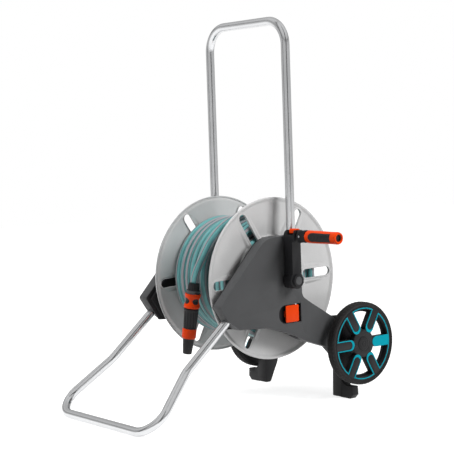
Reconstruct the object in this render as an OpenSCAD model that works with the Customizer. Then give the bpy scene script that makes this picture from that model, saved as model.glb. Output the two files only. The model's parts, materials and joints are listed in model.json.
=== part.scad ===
// Garden hose reel cart. Two moulded side frames stand on a bent foot tube and two rear feet, carry a
// telescopic tube handle and two wheels, and hold a hose reel that a folding crank turns.
// X runs along the reel axle towards the crank, Y towards the wheels and Z up.

/* [Tubes] */
// Outside diameter of the handle tube and the foot tube
tube_d = 19; // [18.5:0.1:19]
// Wall thickness of both tubes
tube_wall = 1.2; // [1:0.1:1.6]
// Height of the middle of the handle's crossbar
handle_z = 841.5; // [780:0.5:900]
// Distance from the middle of the cart to each handle leg
leg_x = 132.5; // [132:0.1:133]
// Distance of the handle legs behind the reel axle
leg_y = 24; // [23.8:0.1:24.2]
// Bend radius of the handle's two corners
handle_bend = 55; // [40:1:90]
// How far the handle slides down
handle_travel = 140; // [80:5:140]
// Distance of the foot tube's crossbar in front of the reel axle
foot_y = 397; // [385:1:410]
// Slope of the foot loop
foot_slope = 40; // [39:0.5:41]

/* [Reel] */
// Height of the reel axle
reel_z = 280; // [279:0.5:281]
// Diameter of both flanges
flange_d = 356; // [340:1:360]
// Distance between the outer faces of the flanges' rims
reel_w = 200; // [200:1:202]
// Diameter of the drum that the hose is wound on
drum_d = 168; // [160:1:168]
// Diameter of the reel axle's journals
shaft_d = 20; // [20:0.1:20]

/* [Hose] */
// Outside diameter of the hose
hose_d = 17; // [16:0.5:17]
// Layers of hose on the drum
hose_layers = 3; // [2:1:3]

/* [Side frames] */
// Distance from the middle of the cart to a frame's inner face
frame_in = 112; // [111.5:0.5:112]
// Distance from the middle of the cart to a frame's outer face
frame_out = 148; // [148:0.5:148.5]
// Wall thickness of the mouldings
wall = 3; // [2.5:0.1:3]

/* [Wheels] */
// Diameter of the wheels
wheel_d = 185.4; // [180:0.2:188]
// Width of a tyre
wheel_w = 22; // [21.5:0.5:22.5]
// Distance of the wheel axle behind the reel axle
wheel_y = 183; // [183:0.5:184]
// Height of the wheel axle
wheel_z = 122; // [122:0.5:124]
// Diameter of the wheel axle
axle_d = 12; // [10:1:12]

/* [Crank] */
// Length of the crank from the axle to the grip
crank_r = 96; // [96:0.5:96.5]
// Diameter of the grip's inner end
grip_d = 27; // [25:0.5:27]
// Length of the grip
grip_l = 94; // [86:1:98]

/* [Colours] */
// Colour of the side frames
frame_colour = "#505050"; // ["#505050", "#404448"]
// Colour of the handles, buttons and collars
accent_colour = "#eb4b14"; // ["#eb4b14", "#d8a010"]
// Colour of the wheel rings
ring_colour = "#00aabe"; // ["#00aabe", "#30a040"]

/* [Hidden] */
$fn = 72;
SIDES = [1, -1];
EPS = 0.01;

tube_r = tube_d / 2;
tube_bore_r = tube_r - tube_wall;
steel_colour = "#c8ccd0";
dark_colour = "#2a2a2c";
flange_colour = "#c4c6c8";
hose_colour = "#3f8286";
seal_colour = "#202020";

// Row origin: the middle of the footprint, which the grip, the wheels and the foot loop limit.
crank_out = 177;
boss_out = crank_out + 6;
hinge_x = boss_out + 16;
fork_out = hinge_x + 17;
grip_in = fork_out + 0.3;
grip_out = grip_in + grip_l;
wheel_out = 187;
wheel_in = wheel_out - wheel_w;
origin = [
    (grip_out - wheel_out) / 2,
    (wheel_y + wheel_d / 2 - foot_y - tube_r) / 2,
    0
];

// Side frame outline in Y and Z, counter-clockwise from the front, each corner with its radius.
frame_front = [[-190, 238, 6], [-157, 187, 4]];
frame_front_cut = [[-190, 238, 6], [-170, 208, 2], [-140, 186, 4]];
frame_rest = [
    [-60, 181, 60], [0, 163, 60], [45, 141, 40], [116, 117, 6], [136, 140, 4],
    [147, 178, 6], [66, 222, 40], [38, 240, 20], [38, 375, 8], [-60, 375, 60]
];
inner_outline = concat(frame_front, frame_rest);
outer_outline = concat(frame_front_cut, frame_rest);
seam_x = 122;
// The inner half's face stands this far inside its outline.
face_inset = 8;
arm_kink_y = 66;
arm_end_y = 147;
arm_end_x = 136;
screw_at = [[-122, 202], [-118, 290], [-62, 352], [0, 345], [75, 190]];
screw_r = 1.8;
screw_boss_r = 5;
foot_bolt_at = [122, 152];
foot_bolt_r = 3;
tongue_low = [119, 112, 142];
tongue_high = [133, 160, 162];

shaft_r = shaft_d / 2;
run_gap = 0.05;
bush_r = 13;
bush_collar_r = 17;
bush_collar_x = frame_in - 4;

leg_bottom = 165;
leg_gap_r = 10.2;
guide_low = 122.1;
guide_front = 11.5;
guide_spans = [[163, 179], [343, 366]];
lock_z = 205.5;
lock_hole_r = 3.2;

// Lock button: a recess with a round front end, and the cap in it.
recess_y = [-30, 34];
recess_z = [185, 226];
button_y = [-11, 26];
button_z = [187, 224];
button_face = 149.3;
button_t = 2.5;
tray_floor = 138;
stem_in = 131;

// Foot loop: its corner points in its own sloping plane, from the sockets to the crossbar.
socket_x = 135;
foot_path = [[-135, 335], [-135, 160], [-187.6, 0], [187.6, 0], [135, 160], [135, 335]];
foot_bends = [0, 70, 47, 47, 70, 0];
// A bend laps its straight runs by this much, and is this much thicker.
bend_lap = 0.5;
bend_lip = 0.06;

// Reel and hose.
flange_r = flange_d / 2;
flange_in = reel_w / 2 - 9;
flange_t = 6;
rim_out = reel_w / 2;
drum_r = drum_d / 2;
slot_r = [86, 167];
slot_w = 20;
pocket_r = [96, 154];
pocket_half_gap = 21;
flange_screw_r = 60;
// How far the slots of the right and the left flange are turned from upright.
flange_turn = [1, 3.5];
hub_r = 24;
hub_out = 106;
hose_r = hose_d / 2;
coil_gap = 0.3;
layer_rise = 16.5;
first_r = drum_r + hose_r + coil_gap;
coil_out_r = first_r + layer_rise * (hose_layers - 1) + hose_r;
coil_half_w = flange_in - 1.3;
wrap_r = coil_out_r + hose_r;

// Water inlet: its flange's screws, and the elbow's outer leg.
inlet_screw_at = 19.5;
inlet_x = -167;

// The hose's start: a part turn that grows from the outlet nipple to the drum's surface.
tail_bend = 75;
tail_centre = first_r - tail_bend;
tail_x = [-62, -78];
tail_turn = 130;
tail_steps = 10;
outlet_y = -6;

// The hose's free end: round the winding, then hand-laid points down to the connector.
wrap_turn = 250;
wrap_end = 158;
wrap_steps = 20;
wrap_x = [78, 19];
end_route = [[15.5, -141.5, 315], [12, -148, 297]];
nozzle_top = [9, -151, 278];
nozzle_tilt = [-3, 8.5, 0];

// Crank hinge and grip.
knuckle_z = reel_z + crank_r;
arm_half = 12.5;
arm_in = 150;
knuckle_x = (arm_in + crank_out) / 2;
knuckle_r = 13.4;
neck_out = boss_out + 2;
arm_end_r = 18;
arm_boss_r = 13.3;
drive_square = 6.5;
drive_end = 170;
fork_half = 12.5;
tongue_half = 5;
latch_x = [162.5, 181.5];
latch_half = 7;
latch_low = knuckle_z + 6;
latch_spring_at = [172, 0];
grip_r = grip_d / 2;
spindle_r = 5;
fold_pin_r = 2.5;
latch_rise = 2.5;

// Wheels.
wheel_r = wheel_d / 2;
rim_r = 84;
axle_r = axle_d / 2;
wheel_hub_r = 17;
foot_in = 118;
foot_out = 145;
foot_boss_out = wheel_out - wheel_w - 0.3;
rim_web = 16;
ledge_r = 71;
spoke_half = 11.75;
window_r = 78;
trim_line = 2.2;

function unit(v) = v / norm(v);
function flat(p) = [p.x, p.y];
function wrap_i(i, n) = (i + n) % n;

// Points of the arc that rounds corner b between a and c.
function corner(a, b, c, r, n) =
    let (
        u = unit(a - b),
        w = unit(c - b),
        half = acos(u * w) / 2,
        centre = b + unit(u + w) * r / sin(half),
        p = b + u * r / tan(half) - centre,
        q = b + w * r / tan(half) - centre,
        start = atan2(p.y, p.x),
        raw = atan2(q.y, q.x) - start,
        sweep = raw > 180 ? raw - 360 : raw < -180 ? raw + 360 : raw
    )
    [for (i = [0:n]) centre + r * [cos(start + sweep * i / n), sin(start + sweep * i / n)]];

// A closed outline with its corners rounded by each corner's third value.
function rounded(pts, n = 4) = [
    for (i = [0:len(pts) - 1])
        let (a = pts[wrap_i(i - 1, len(pts))], b = pts[i], c = pts[wrap_i(i + 1, len(pts))])
        each b[2] > 0 ? corner(flat(a), flat(b), flat(c), b[2], n) : [flat(b)]
];

// A counter-clockwise outline with every side moved inwards by d, its radii kept parallel.
function inset(pts, d) = [
    for (i = [0:len(pts) - 1])
        let (
            a = flat(pts[wrap_i(i - 1, len(pts))]),
            b = flat(pts[i]),
            c = flat(pts[wrap_i(i + 1, len(pts))]),
            u = unit(b - a),
            w = unit(c - b),
            nu = [-u.y, u.x],
            nw = [-w.y, w.x],
            turn = u.x * w.y - u.y * w.x,
            moved = b + (nu + nw) * d / (1 + nu * nw)
        )
        [moved.x, moved.y, max(0, pts[i][2] + (turn > 0 ? -d : d))]
];

// Rings of a tube swept along points, each ring square to the route.
function tangent(pts, i) = unit(pts[min(i + 1, len(pts) - 1)] - pts[max(i - 1, 0)]);
function ring(p, t, r, n) =
    let (a = unit(cross(t, [1, 0, 0])), b = cross(t, a))
    [for (i = [0:n - 1]) p + r * (cos(360 * i / n) * a + sin(360 * i / n) * b)];

module swept_tube(pts, r, n = 8) {
    last = (len(pts) - 1) * n;
    polyhedron(
        points = [for (i = [0:len(pts) - 1]) each ring(pts[i], tangent(pts, i), r, n)],
        faces = concat(
            [[for (k = [n - 1:-1:0]) k]],
            [for (i = [0:len(pts) - 2], k = [0:n - 1])
                [i * n + k, i * n + (k + 1) % n, (i + 1) * n + (k + 1) % n]],
            [for (i = [0:len(pts) - 2], k = [0:n - 1])
                [i * n + k, (i + 1) * n + (k + 1) % n, (i + 1) * n + k]],
            [[for (k = [0:n - 1]) last + k]]
        )
    );
}

module placed() { translate([-origin.x, -origin.y, 0]) children(); }
module on_side(side) { mirror([side > 0 ? 0 : 1, 0, 0]) children(); }
module on_y_side(side) { mirror([0, side > 0 ? 0 : 1, 0]) children(); }
module prism_x(pts, x0, x1) {
    translate([x0, 0, 0]) rotate([90, 0, 90]) linear_extrude(x1 - x0) polygon(pts);
}
module rod_x(r, x0, x1, y, z) { translate([x0, y, z]) rotate([0, 90, 0]) cylinder(r = r, h = x1 - x0); }
module rod_y(r, y0, y1, x, z) { translate([x, y0, z]) rotate([-90, 0, 0]) cylinder(r = r, h = y1 - y0); }
module rod_z(r, z0, z1, x, y) { translate([x, y, z0]) cylinder(r = r, h = z1 - z0); }
module pipe_x(r, bore, x0, x1, y, z) {
    difference() {
        rod_x(r, x0, x1, y, z);
        rod_x(bore, x0 - 1, x1 + 1, y, z);
    }
}
module block(low, high) { translate(low) cube(high - low); }
// A solid turned about a line along X, from points [radius, x].
module turned_x(pts, y, z) { translate([0, y, z]) rotate([0, 90, 0]) rotate_extrude() polygon(pts); }

// The solid rod along a path in the local XY plane, with round bends that are a hair thicker by lip.
module bent_rod(pts, bends, r, lip, beyond) {
    n = len(pts);
    turns = [for (i = [0:n - 1]) i == 0 || i == n - 1 ? 0
        : acos(unit(pts[i] - pts[i - 1]) * unit(pts[i + 1] - pts[i]))];
    cuts = [for (i = [0:n - 1]) bends[i] * tan(turns[i] / 2)];
    for (i = [0:n - 2]) {
        d = unit(pts[i + 1] - pts[i]);
        a = pts[i] + d * (cuts[i] - (i == 0 ? beyond : bend_lap));
        b = pts[i + 1] - d * (cuts[i + 1] - (i == n - 2 ? beyond : bend_lap));
        translate([a.x, a.y, 0]) rotate([0, 0, atan2(d.y, d.x)]) rotate([0, 90, 0])
            cylinder(r = r, h = norm(b - a));
    }
    for (i = [1:n - 2]) {
        u = unit(pts[i - 1] - pts[i]);
        w = unit(pts[i + 1] - pts[i]);
        centre = pts[i] + unit(u + w) * bends[i] / cos(turns[i] / 2);
        from = pts[i] + (u.y * w.x - u.x * w.y > 0 ? u : w) * cuts[i] - centre;
        translate([centre.x, centre.y, 0]) rotate([0, 0, atan2(from.y, from.x)])
            rotate_extrude(angle = turns[i]) translate([bends[i], 0]) circle(r = r + lip);
    }
}
module bent_tube(pts, bends) {
    difference() {
        bent_rod(pts, bends, tube_r, bend_lip, 0);
        bent_rod(pts, bends, tube_bore_r, -bend_lip, 1);
    }
}

module foot_plane() { translate([0, -foot_y, tube_r]) rotate([foot_slope, 0, 0]) children(); }
module foot_socket_gap() {
    foot_plane() translate([socket_x, 290, 0]) rotate([-90, 0, 0]) cylinder(r = tube_r + 0.1, h = 60);
}
module leg_gap() { rod_z(leg_gap_r, 130, 400, leg_x, leg_y); }
// The wedge that slopes the outer face of the wheel arm inwards, moved in by depth.
module arm_facet(depth) {
    slope = (arm_end_x - frame_out) / (arm_end_y - arm_kink_y);
    beyond = 60;
    translate([0, 0, 90]) linear_extrude(160) polygon([
        [frame_out - depth, arm_kink_y],
        [frame_out + beyond, arm_kink_y],
        [frame_out + beyond, arm_kink_y + 2 * beyond],
        [frame_out - depth + slope * 2 * beyond, arm_kink_y + 2 * beyond]
    ]);
}
module recess(gap, x0, x1) {
    front = 19 - gap;
    prism_x(rounded([
        [recess_y[0] + gap, recess_z[0] + gap, front],
        [recess_y[1] - gap, recess_z[0] + gap, 1],
        [recess_y[1] - gap, recess_z[1] - gap, 1],
        [recess_y[0] + gap, recess_z[1] - gap, front]
    ], 8), x0, x1);
}

module frame_outer(side) {
    color(frame_colour) placed() on_side(side) difference() {
        union() {
            difference() {
                prism_x(rounded(outer_outline), seam_x, frame_out);
                difference() {
                    prism_x(rounded(inset(outer_outline, wall)), seam_x - 1, frame_out - wall);
                    arm_facet(wall);
                }
            }
            rod_x(bush_r + 3, seam_x, frame_out - 1, 0, reel_z);
            for (p = screw_at) rod_x(screw_boss_r, seam_x, frame_out - 1, p[0], p[1]);
            rod_x(screw_boss_r + 2, tongue_high.x, arm_end_x + 2, foot_bolt_at[0], foot_bolt_at[1]);
        }
        arm_facet(0);
        rod_x(bush_r, seam_x - 1, frame_out + 1, 0, reel_z);
        for (p = screw_at) rod_x(screw_r + 0.1, seam_x - 1, frame_out - wall - 2, p[0], p[1]);
        rod_x(foot_bolt_r, tongue_high.x - 1, arm_end_x, foot_bolt_at[0], foot_bolt_at[1]);
        leg_gap();
        foot_socket_gap();
        recess(0, frame_out - 2 * wall, frame_out + 1);
        block(tongue_low, tongue_high);
        if (side < 0) inlet_screw_places() rod_x(screw_r, frame_out - wall - 1, frame_out + 1, 0, 0);
    }
}

module frame_inner(side) {
    color(dark_colour) placed() on_side(side) difference() {
        union() {
            difference() {
                union() {
                    prism_x(rounded(inner_outline), seam_x - wall, seam_x);
                    prism_x(rounded(inset(inner_outline, face_inset)), frame_in, seam_x - EPS);
                }
                prism_x(rounded(inset(inner_outline, face_inset + wall)), frame_in + wall, seam_x + 1);
            }
            rod_x(bush_r + 3, frame_in + 1, seam_x, 0, reel_z);
            for (p = screw_at) rod_x(screw_boss_r, frame_in + 1, seam_x, p[0], p[1]);
        }
        rod_x(bush_r, frame_in - 1, seam_x + 1, 0, reel_z);
        for (p = screw_at) rod_x(screw_r + 0.4, frame_in - 1, seam_x + 1, p[0], p[1]);
        rod_x(foot_bolt_r + 0.2, frame_in - 1, tongue_low.x, foot_bolt_at[0], foot_bolt_at[1]);
        leg_gap();
        foot_socket_gap();
        block(tongue_low, tongue_high);
    }
}

module frame_screws() {
    color(steel_colour) placed() for (side = SIDES, p = screw_at) on_side(side) {
        rod_x(4, frame_in - 2, frame_in, p[0], p[1]);
        rod_x(screw_r, frame_in - EPS, frame_out - wall - 5, p[0], p[1]);
    }
}

module foot_tube() {
    color(steel_colour) placed() foot_plane() bent_tube(foot_path, foot_bends);
}

module rear_foot(side) {
    outline = rounded([
        [117.5, 118, 0], [151, 84, 40], [149, 0, 3], [165, 0, 5], [188, 46, 24], [206, 124, 16],
        [196, 152, 14], [170, 182, 10], [149, 183, 0], [146.6, 176, 0], [136.5, 140, 0]
    ], 5);
    color(dark_colour) placed() on_side(side) difference() {
        union() {
            prism_x(outline, foot_in, foot_out);
            rod_x(16, foot_out - 1, foot_boss_out, wheel_y, wheel_z);
            translate([0, 167, 0]) rotate([90, 0, 0]) linear_extrude(17) polygon([
                [foot_out - 2, 0], [173, 0], [182, 9], [181, 28], [159, 28], [foot_out - 2, 40]
            ]);
            block(tongue_low, tongue_high - [0, 12, 0]);
        }
        rod_x(axle_r, foot_in - 5, foot_boss_out + 1, wheel_y, wheel_z);
        rod_x(foot_bolt_r + 0.1, tongue_low.x - 1, tongue_high.x + 1, foot_bolt_at[0], foot_bolt_at[1]);
    }
}

module rear_foot_bolts() {
    color(steel_colour) placed() for (side = SIDES) on_side(side) {
        rod_x(6, frame_in - 3, frame_in, foot_bolt_at[0], foot_bolt_at[1]);
        rod_x(foot_bolt_r, frame_in - EPS, arm_end_x - 0.5, foot_bolt_at[0], foot_bolt_at[1]);
    }
}

module wheel_axle() {
    color(steel_colour) placed() rod_x(axle_r, -wheel_out + 5, wheel_out - 5, wheel_y, wheel_z);
}

module axle_retainers() {
    color(steel_colour) placed() for (side = SIDES) on_side(side)
        pipe_x(9.5, axle_r, wheel_out - 7, wheel_out - 5.2, wheel_y, wheel_z);
}

module shaft_bushes() {
    color("#e8e6dc") placed() for (side = SIDES) on_side(side) difference() {
        union() {
            rod_x(bush_r, bush_collar_x, frame_out, 0, reel_z);
            rod_x(bush_collar_r, bush_collar_x, frame_in, 0, reel_z);
        }
        rod_x(shaft_r + run_gap, bush_collar_x - 1, frame_out + 1, 0, reel_z);
    }
}

module handle_guides() {
    color(dark_colour) placed() for (side = SIDES, span = guide_spans) on_side(side) difference() {
        block([guide_low, guide_front, span[0]], [frame_out - wall, 38 - wall, span[1]]);
        rod_z(tube_r + run_gap, span[0] - 1, span[1] + 1, leg_x, leg_y);
    }
}

module button_trays() {
    color(dark_colour) placed() for (side = SIDES) on_side(side) difference() {
        recess(0.1, tray_floor, frame_out - 0.5);
        recess(1.6, tray_floor + 1.5, frame_out + 1);
        block([tray_floor - 1, 12.5, recess_z[0] - 5], [frame_out + 1, 40, recess_z[1] + 5]);
        block([tray_floor - 1, -8.5, 198.5], [frame_out, 4.5, 212.5]);
    }
}

module lock_button(side) {
    color(accent_colour) placed() on_side(side) {
        prism_x(rounded([
            [button_y[0], button_z[0], 3], [button_y[1], button_z[0], 3],
            [button_y[1], button_z[1], 3], [button_y[0], button_z[1], 3]
        ]), button_face - button_t, button_face);
        block([stem_in + 2, -8, 199], [button_face - 1, 4, 212]);
        block([stem_in, -12, 196], [stem_in + 3, 9, 215]);
        block([stem_in, 8, lock_z - 3], [stem_in + 3, leg_y - tube_r - 0.4, lock_z + 3]);
    }
}

// A coil spring along X from the origin, with five turns.
module coil_spring(length, r, wire) {
    steps = 45;
    swept_tube([for (i = [0:steps]) [
        wire + (length - 2 * wire) * i / steps,
        r * cos(40 * i),
        r * sin(40 * i)
    ]], wire, 5);
}

module lock_spring(side) {
    base = frame_in + wall + run_gap;
    color(steel_colour) placed() on_side(side) translate([base, -2, lock_z])
        coil_spring(stem_in - run_gap - base, 5, 0.7);
}

module inlet_screw_places() {
    for (a = [45, 225]) translate([0, inlet_screw_at * cos(a), reel_z + inlet_screw_at * sin(a)]) children();
}

module water_inlet_elbow() {
    color(dark_colour) placed() difference() {
        union() {
            rod_x(15.5, -181, -frame_out, 0, reel_z);
            rod_x(24, -frame_out - 3, -frame_out, 0, reel_z);
            rod_y(11, 0, 24, inlet_x, reel_z);
        }
        rod_x(shaft_r + run_gap, -166, -frame_out + 1, 0, reel_z);
        rod_x(6, -174, -160, 0, reel_z);
        rod_y(6.5, 0, 25, inlet_x, reel_z);
        inlet_screw_places() rod_x(2, -frame_out - 4, -frame_out + 1, 0, 0);
    }
}

module water_inlet_nipple() {
    color("#a8abad") placed() translate([inlet_x, 0, reel_z]) rotate([-90, 0, 0]) rotate_extrude() polygon([
        [4.5, 12], [6.5, 12], [6.5, 24], [13, 24], [13, 28], [8.6, 28], [8.6, 44], [7, 45.5],
        [7, 49.5], [8.2, 50.5], [8.2, 54], [6.6, 56], [4.5, 56]
    ]);
}

module inlet_screws() {
    color(steel_colour) placed() inlet_screw_places() {
        rod_x(3.2, -frame_out - 5, -frame_out - 3, 0, 0);
        rod_x(screw_r - 0.02, -frame_out - 3 - EPS, -frame_out + wall, 0, 0);
    }
}

module handle_tube() {
    path = [[-leg_x, leg_bottom], [-leg_x, handle_z], [leg_x, handle_z], [leg_x, leg_bottom]];
    color(steel_colour) placed() difference() {
        translate([0, leg_y, 0]) rotate([90, 0, 0])
            bent_tube(path, [0, handle_bend, handle_bend, 0]);
        for (side = SIDES, z = [lock_z, lock_z + handle_travel])
            rod_y(lock_hole_r, leg_y - tube_r - 1, leg_y, side * leg_x, z);
    }
}

module handle_end_plugs() {
    color(dark_colour) placed() for (side = SIDES) {
        rod_z(tube_r, leg_bottom - 3, leg_bottom, side * leg_x, leg_y);
        rod_z(tube_bore_r, leg_bottom - EPS, leg_bottom + 10, side * leg_x, leg_y);
    }
}

// One radial slot of a flange, with round ends, pointing along Y.
module slot_2d(half_w) {
    translate([slot_r[0] + slot_w / 2, -half_w]) square([slot_r[1] - slot_r[0] - slot_w, 2 * half_w]);
    for (r = [slot_r[0] + slot_w / 2, slot_r[1] - slot_w / 2]) translate([r, 0]) circle(r = half_w);
}
// One sunk panel between two slots.
module pocket_2d() {
    half = 30;
    a0 = half - asin(pocket_half_gap / pocket_r[0]);
    a1 = half - asin(pocket_half_gap / pocket_r[1]);
    polygon(concat(
        [for (i = [-4:4]) pocket_r[0] * [cos(a0 * i / 4), sin(a0 * i / 4)]],
        [for (i = [8:-1:-8]) pocket_r[1] * [cos(a1 * i / 8), sin(a1 * i / 8)]]
    ));
}

function turn_of(side) = flange_turn[side > 0 ? 0 : 1];

module flange_screw_places(side) {
    for (k = [0:5]) let (a = 60 * k + turn_of(side))
        translate([0, flange_screw_r * cos(a), reel_z + flange_screw_r * sin(a)]) children();
}

module flange(side) {
    face = flange_in + flange_t;
    color(flange_colour) placed() on_side(side) difference() {
        turned_x([
            [shaft_r, flange_in], [flange_r - 8, flange_in], [flange_r - 2, rim_out - 5.5],
            [flange_r, rim_out - 4], [flange_r, rim_out - 1.5], [flange_r - 1.5, rim_out],
            [flange_r - 5, rim_out], [flange_r - 15, face], [hub_r, face], [hub_r, hub_out],
            [shaft_r, hub_out]
        ], 0, reel_z);
        translate([0, 0, reel_z]) for (k = [0:5]) rotate([60 * k + turn_of(side), 0, 0]) {
            translate([flange_in - 1, 0, 0]) rotate([90, 0, 90]) linear_extrude(20) slot_2d(slot_w / 2);
            rotate([30, 0, 0]) translate([flange_in + 3, 0, 0]) rotate([90, 0, 90]) linear_extrude(20)
                pocket_2d();
        }
        flange_screw_places(side) rod_x(screw_r + 0.2, flange_in - 1, face + 1, 0, 0);
    }
}

module drum() {
    color(dark_colour) placed() difference() {
        union() {
            pipe_x(drum_r, drum_r - wall, -flange_in, flange_in, 0, reel_z);
            for (side = SIDES) on_side(side) {
                pipe_x(drum_r - 1, 30, flange_in - wall, flange_in, 0, reel_z);
                flange_screw_places(side) rod_x(5, flange_in - 9, flange_in, 0, 0);
            }
        }
        for (side = SIDES) on_side(side)
            flange_screw_places(side) rod_x(screw_r, flange_in - 8, flange_in + 1, 0, 0);
        block([-88, 20, reel_z - 15], [-58, 90, reel_z + 90]);
    }
}

module flange_screws() {
    face = flange_in + flange_t;
    color(steel_colour) placed() for (side = SIDES) on_side(side) flange_screw_places(side) {
        rod_x(4, face, face + 2.5, 0, 0);
        rod_x(screw_r, flange_in - 8 + EPS, face + EPS, 0, 0);
    }
}

module drive_shaft() {
    color(steel_colour) placed() difference() {
        union() {
            rod_x(shaft_r, flange_in - 20, arm_in, 0, reel_z);
            block([arm_in - EPS, -drive_square, reel_z - drive_square],
                [drive_end, drive_square, reel_z + drive_square]);
            rod_x(15, flange_in - 20, flange_in, 0, reel_z);
        }
        rod_x(2.5, 156, drive_end + 1, 0, reel_z);
    }
}

module water_shaft() {
    color("#b08d4c") placed() difference() {
        union() {
            rod_x(shaft_r, -165.5, -50, 0, reel_z);
            rod_x(15, -flange_in, -flange_in + 10, 0, reel_z);
        }
        rod_x(6, -166, -49, 0, reel_z);
        rod_z(4, reel_z - 12, reel_z, tail_x[0], 0);
        for (x = [-154, -160]) turned_x([[7.9, x - 1.1], [11, x - 1.1], [11, x + 1.1], [7.9, x + 1.1]],
            0, reel_z);
    }
}

module shaft_o_rings() {
    color(seal_colour) placed() for (x = [-154, -160]) translate([x, 0, reel_z]) rotate([0, 90, 0])
        rotate_extrude() translate([9, 0]) circle(r = 1);
}

// A point on the hose's start, which rises from the nipple to the drum's surface.
function tail_point(i) =
    let (a = tail_turn * i / tail_steps - 90)
    [tail_x[0] + (tail_x[1] - tail_x[0]) * i / tail_steps,
        tail_bend * cos(a), reel_z + tail_centre + tail_bend * sin(a)];

module hose_outlet() {
    base = tail_point(0);
    color(dark_colour) placed() difference() {
        union() {
            rod_x(14, -76, -48, 0, reel_z);
            rod_z(8, base.z, reel_z - 8, base.x, outlet_y);
            rod_y(hose_r, outlet_y - 8, base.y, base.x, base.z);
        }
        rod_x(shaft_r, -77, -50, 0, reel_z);
        rod_z(5, base.z, reel_z, base.x, outlet_y);
        rod_y(5, outlet_y, base.y + 1, base.x, base.z);
    }
}

module hose_tail() {
    color(hose_colour) placed() swept_tube([for (i = [0:tail_steps]) tail_point(i)], hose_r);
}

module hose_coil() {
    color(hose_colour) placed()
        pipe_x(coil_out_r, drum_r + coil_gap, -coil_half_w, coil_half_w, 0, reel_z);
}

module hose_end() {
    wrap = [for (i = [0:wrap_steps])
        let (a = wrap_end - wrap_turn * (1 - i / wrap_steps))
        [wrap_x[0] + (wrap_x[1] - wrap_x[0]) * i / wrap_steps,
            wrap_r * cos(a), reel_z + wrap_r * sin(a)]];
    color(hose_colour) placed() swept_tube(concat(wrap, end_route, [nozzle_top]), hose_r);
}

// The connector and nozzle hang on one line: turned pieces from points [radius, distance down it].
module hanging(pts) {
    placed() translate(nozzle_top) rotate(nozzle_tilt) rotate([180, 0, 0]) rotate_extrude() polygon(pts);
}

module connector_nut() {
    color(dark_colour) hanging([[5, 0.2], [12.5, 0.2], [14, 2], [14, 16], [5, 16]]);
}
module connector_body() {
    color("#8c8f92") hanging([[8.2, 16], [15, 16], [15, 23], [10, 23], [10, 56.5], [8.2, 56.5]]);
}
module connector_collar() {
    color(accent_colour) hanging([
        [10.08, 29], [15.3, 29], [15.3, 23.3], [17.3, 23.3], [17.3, 29], [15, 34], [13.6, 39],
        [15, 44], [17.3, 49], [17.3, 55], [10.08, 55]
    ]);
}
module nozzle_body() {
    color(dark_colour) hanging([
        [4, 40], [8.2, 40], [8.2, 57], [16, 57], [16, 66], [14.4, 99], [14.4, 101], [9, 101], [9, 124],
        [4, 124]
    ]);
}
module nozzle_ring() {
    color(accent_colour) hanging([
        [9.08, 101.3], [14.5, 101.3], [15.5, 103], [15.5, 121], [14, 123], [9.08, 123]
    ]);
}
module nozzle_tip() {
    color(dark_colour) hanging([
        [9.08, 123], [12.7, 123], [9.8, 158], [3, 158], [3, 124.5], [9.08, 124.5]
    ]);
}

module crank_arm() {
    color(dark_colour) placed() difference() {
        union() {
            block([arm_in, -arm_half, reel_z], [crank_out, arm_half, knuckle_z]);
            rod_x(arm_end_r, arm_in, crank_out, 0, reel_z);
            rod_x(arm_boss_r, crank_out - 1, boss_out, 0, reel_z);
            rod_y(knuckle_r, -arm_half, arm_half, knuckle_x, knuckle_z);
            prism_x(rounded([[-arm_half, knuckle_z - 12.8, 2], [arm_half, knuckle_z - 12.8, 2],
                [arm_half, knuckle_z + 12.8, 4], [-arm_half, knuckle_z + 12.8, 4]]), knuckle_x, neck_out);
            block([neck_out - 1, -tongue_half, knuckle_z - 7], [hinge_x, tongue_half, knuckle_z + 12]);
            rod_y(7, -tongue_half, tongue_half, hinge_x, knuckle_z);
        }
        block([arm_in - 1, -arm_half + wall, reel_z + 24], [crank_out - 5, arm_half - wall,
            knuckle_z - 18]);
        block([arm_in - 1, -drive_square, reel_z - drive_square],
            [drive_end, drive_square, reel_z + drive_square]);
        block([latch_x[0] - 0.5, -arm_half - 1, knuckle_z + 3],
            [latch_x[1] + 0.5, latch_half + 0.5, knuckle_z + 16]);
        rod_z(4.6, knuckle_z - 3, knuckle_z + 4, latch_spring_at.x, latch_spring_at.y);
        rod_x(2.6, drive_end - 1, boss_out, 0, reel_z);
        rod_x(9, boss_out - 4, boss_out + 1, 0, reel_z);
        rod_y(fold_pin_r, -6, 6, hinge_x, knuckle_z);
    }
}

module crank_cap() {
    color("#6a6d70") placed() difference() {
        turned_x([[0, boss_out - 4], [9, boss_out - 4], [9, boss_out - 0.5], [7, boss_out + 0.4],
            [0, boss_out + 0.6]], 0, reel_z);
        rod_x(4.6, boss_out - 5, boss_out - 2, 0, reel_z);
    }
}

module crank_screw() {
    color(steel_colour) placed() {
        rod_x(4.5, boss_out - 4, boss_out - 2.1, 0, reel_z);
        rod_x(2.5, drive_end - 12, boss_out - 4 + EPS, 0, reel_z);
    }
}

module fold_pin() {
    color(steel_colour) placed() rod_y(fold_pin_r, -fork_half, fork_half, hinge_x, knuckle_z);
}

module latch_spring() {
    color(steel_colour) placed()
        translate([latch_spring_at.x, latch_spring_at.y, knuckle_z - 3 + run_gap]) rotate([0, -90, 0])
            coil_spring(latch_low - knuckle_z + 3 - 2 * run_gap, 3.5, 0.6);
}

module fold_latch() {
    color(accent_colour) placed() prism_x(rounded([
        [-latch_half, latch_low, 0], [latch_half, latch_low, 0],
        [latch_half, knuckle_z + 13 + latch_rise, 3], [-latch_half, knuckle_z + 13 + latch_rise, 3]
    ]), latch_x[0], latch_x[1]);
}

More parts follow.
